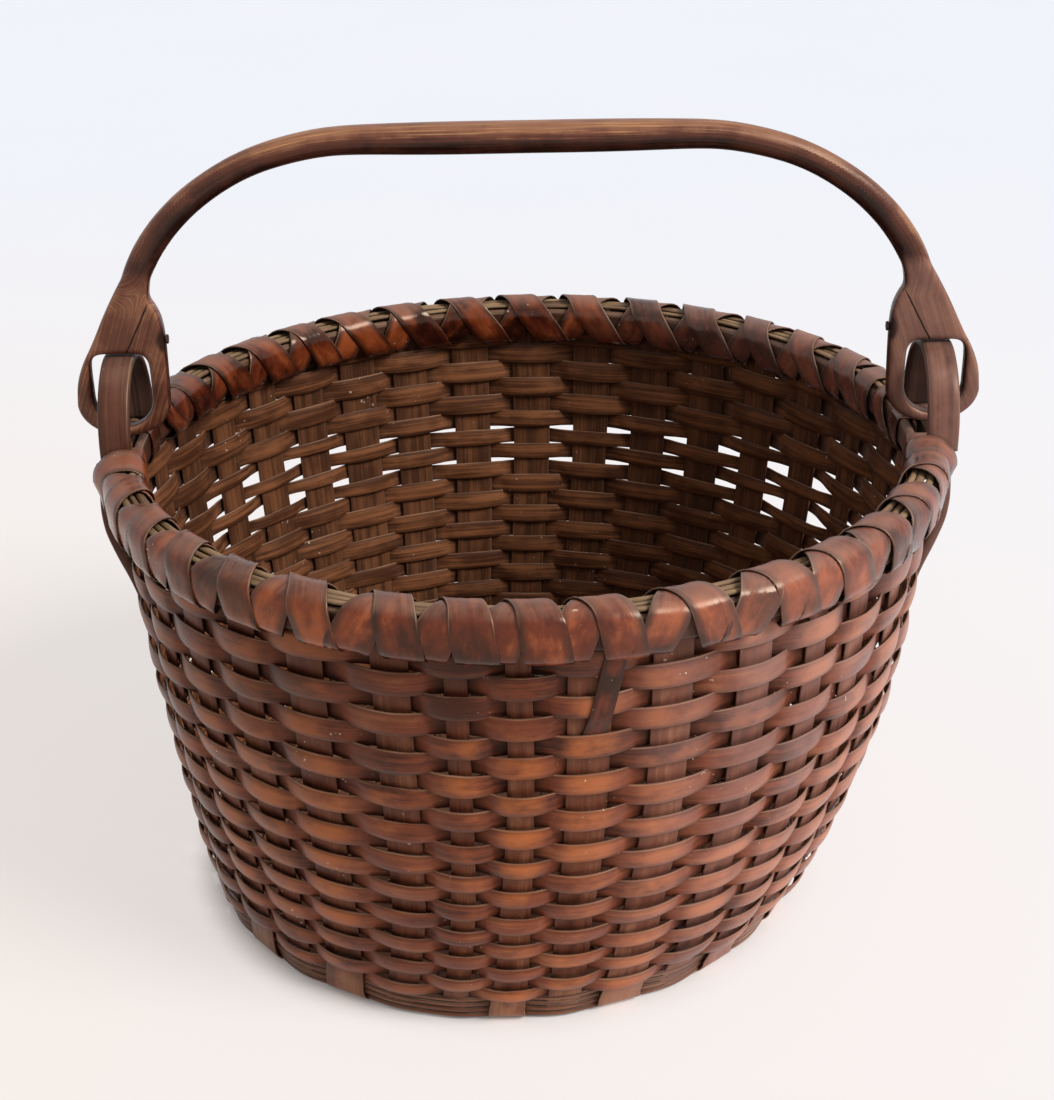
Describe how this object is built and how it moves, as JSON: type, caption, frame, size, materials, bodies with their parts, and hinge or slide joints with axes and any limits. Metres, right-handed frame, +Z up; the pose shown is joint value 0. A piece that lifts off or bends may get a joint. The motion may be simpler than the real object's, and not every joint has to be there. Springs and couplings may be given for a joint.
{
  "type": "swing handle basket",
  "caption": "Round woven splint basket with flared wall, laced hoop rim, two strap ears and a bent wood swing handle whose eyes link with the ears.",
  "frame": {"origin": "on the floor, plumb below the middle of the rim", "axes": "+X from the left ear to the right ear, +Z up, -Y towards the viewer of the picture"},
  "size_m": [0.4826, 0.4545, 0.4305],
  "materials": {
    "outer_spoke_splint": "satin",
    "inner_spoke_splint": "satin",
    "weaver_splint": "glossy",
    "bottom_splint": "matte",
    "hoop_wood": "satin",
    "filler_splint": "matte",
    "first_lashing_splint": "satin",
    "second_lashing_splint": "glossy",
    "ear_wood": "satin",
    "bail_wood": "satin",
    "nail_iron": "rusted"
  },
  "bodies": {
    "basket": {"foot_round_1": "weaver_splint", "foot_round_2": "weaver_splint", "foot_round_3": "weaver_splint", "front_first_lashing": "first_lashing_splint", "front_inner_filler": "filler_splint", "front_outer_filler": "filler_splint", "front_second_lashing": "second_lashing_splint", "inner_hoop": "hoop_wood", "inner_short_spoke": "inner_spoke_splint", "inner_spoke_1": "inner_spoke_splint", "inner_spoke_2": "inner_spoke_splint", "inner_spoke_3": "inner_spoke_splint", "inner_spoke_4": "inner_spoke_splint", "inner_spoke_5": "inner_spoke_splint", "inner_spoke_6": "inner_spoke_splint", "inner_spoke_7": "inner_spoke_splint", "inner_spoke_8": "inner_spoke_splint", "left_ear": "ear_wood", "outer_hoop": "hoop_wood", "outer_short_spoke_1": "outer_spoke_splint", "outer_short_spoke_2": "outer_spoke_splint", "outer_spoke_1": "outer_spoke_splint", "outer_spoke_2": "outer_spoke_splint", "outer_spoke_3": "outer_spoke_splint", "outer_spoke_4": "outer_spoke_splint", "outer_spoke_5": "outer_spoke_splint", "outer_spoke_6": "outer_spoke_splint", "outer_spoke_7": "outer_spoke_splint", "outer_spoke_8": "outer_spoke_splint", "rear_first_lashing": "first_lashing_splint", "rear_inner_filler": "filler_splint", "rear_outer_filler": "filler_splint", "rear_second_lashing": "second_lashing_splint", "right_ear": "ear_wood", "weaver_1": "weaver_splint", "weaver_2": "weaver_splint", "weaver_3": "weaver_splint", "weaver_4": "weaver_splint", "weaver_5": "weaver_splint", "weaver_6": "weaver_splint", "weaver_7": "weaver_splint", "woven_bottom": "bottom_splint"},
    "handle": {"bail": "bail_wood", "left_nail": "nail_iron", "right_nail": "nail_iron"}
  },
  "joints": [
    {"name": "handle_swing", "type": "hinge", "parent": "basket", "child": "handle", "pos_m": [0, 0, 0.26723], "axis": [1, 0, 0], "range_deg": [-80, 80]}
  ]
}
